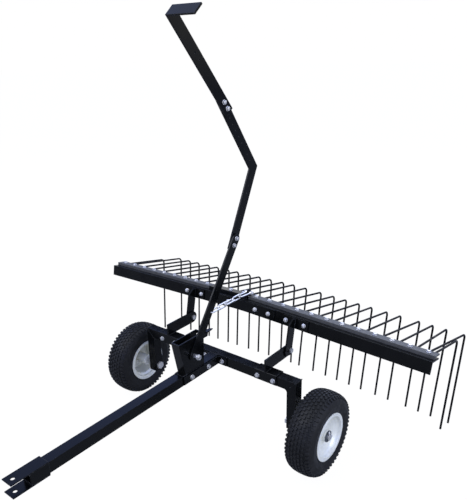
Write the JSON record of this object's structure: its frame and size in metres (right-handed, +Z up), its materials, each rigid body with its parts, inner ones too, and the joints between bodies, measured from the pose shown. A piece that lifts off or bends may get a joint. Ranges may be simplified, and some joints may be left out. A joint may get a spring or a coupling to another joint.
{
  "type": "tow-behind spring-wire rake",
  "caption": "Tow-behind lawn dethatcher rake: two pneumatic wheels, square-tube chassis with drawbar, cranked lift lever with chain, and a hinged angle-iron bar of spring-wire tines.",
  "frame": {"origin": "point on the ground on the machine centreline, at the middle of the bounding box, 165.3 mm forward of the axle", "axes": "+X along the axle to the side the lever grip points to, -Y forward to the hitch, +Y rearward to the tines, +Z up"},
  "size_m": [1.5234, 1.4914, 1.5357],
  "materials": {
    "black_paint": "gloss",
    "spring_wire": "satin",
    "galvanised": "satin",
    "zinc": "satin",
    "chain_zinc": "satin",
    "rim": "gloss",
    "tyre": "matt",
    "bush": "matt"
  },
  "bodies": {
    "chassis": {"axle_tube": "black_paint", "axle_leg_left": "black_paint", "axle_leg_right": "black_paint", "tongue_tube": "black_paint", "tongue_bracket_left": "black_paint", "tongue_bracket_right": "black_paint", "tongue_bolts": "zinc", "bracket_axle_bolts": "zinc", "hitch_ear_top": "black_paint", "hitch_ear_bottom": "black_paint", "hitch_side_left": "black_paint", "hitch_side_right": "black_paint", "lever_bracket": "black_paint", "lever_pivot_bolt": "zinc", "lever_spacer": "zinc", "saddle_clamp_left": "black_paint", "saddle_clamp_right": "black_paint", "saddle_bolts": "zinc", "link_arm_left": "black_paint", "link_arm_right": "black_paint", "rake_pivot_bolts": "zinc", "spindle_left": "zinc", "spindle_right": "zinc", "wheel_spacers": "zinc", "wheel_washers": "zinc", "split_pins": "zinc"},
    "wheel_left": {"tyre_left": "tyre", "rim_left": "rim", "hub_bushes_left": "bush"},
    "wheel_right": {"tyre_right": "tyre", "rim_right": "rim", "hub_bushes_right": "bush"},
    "lever": {"lever_lower": "black_paint", "lever_middle": "black_paint", "lever_upper": "black_paint", "lever_bolts": "zinc"},
    "chain": {"chain_links": "chain_zinc", "shackle": "chain_zinc"},
    "rake": {"rake_bar_left": "black_paint", "rake_bar_right": "black_paint", "clamp_strip_left": "galvanised", "clamp_strip_right": "galvanised", "lug_plate": "black_paint", "splice_plate": "black_paint", "splice_bolts": "zinc", "upright_left": "black_paint", "upright_right": "black_paint", "upright_base_left": "black_paint", "upright_base_right": "black_paint", "upright_bolts": "zinc", "tines_a": "spring_wire", "tines_b": "spring_wire", "tines_c": "spring_wire", "tines_d": "spring_wire", "end_tine_left": "spring_wire", "end_tine_right": "spring_wire", "clamp_bolts": "zinc", "clamp_nuts": "zinc"}
  },
  "joints": [
    {"name": "lift_lever", "type": "hinge", "parent": "chassis", "child": "lever", "pos_m": [0.022, 0.00528, 0.392], "axis": [1, 0, 0], "range_deg": [0, 40]},
    {"name": "rake_hinge", "type": "hinge", "parent": "chassis", "child": "rake", "pos_m": [0, 0.29228, 0.357], "axis": [1, 0, 0], "range_deg": [0, 39.4]},
    {"name": "chain_hinge", "type": "hinge", "parent": "lever", "child": "chain", "pos_m": [0.0223, 0.10908, 0.522], "axis": [1, 0, 0], "range_deg": [-43.4, 0]},
    {"name": "wheel_left_spin", "type": "hinge", "parent": "chassis", "child": "wheel_left", "pos_m": [-0.45, 0.16528, 0.154], "axis": [1, 0, 0], "continuous": true},
    {"name": "wheel_right_spin", "type": "hinge", "parent": "chassis", "child": "wheel_right", "pos_m": [0.45, 0.16528, 0.154], "axis": [1, 0, 0], "continuous": true}
  ],
  "couplings": [
    {"joint": "rake_hinge", "follows": "lift_lever", "ratio": 0.98},
    {"joint": "chain_hinge", "follows": "lift_lever", "ratio": -1.08}
  ]
}
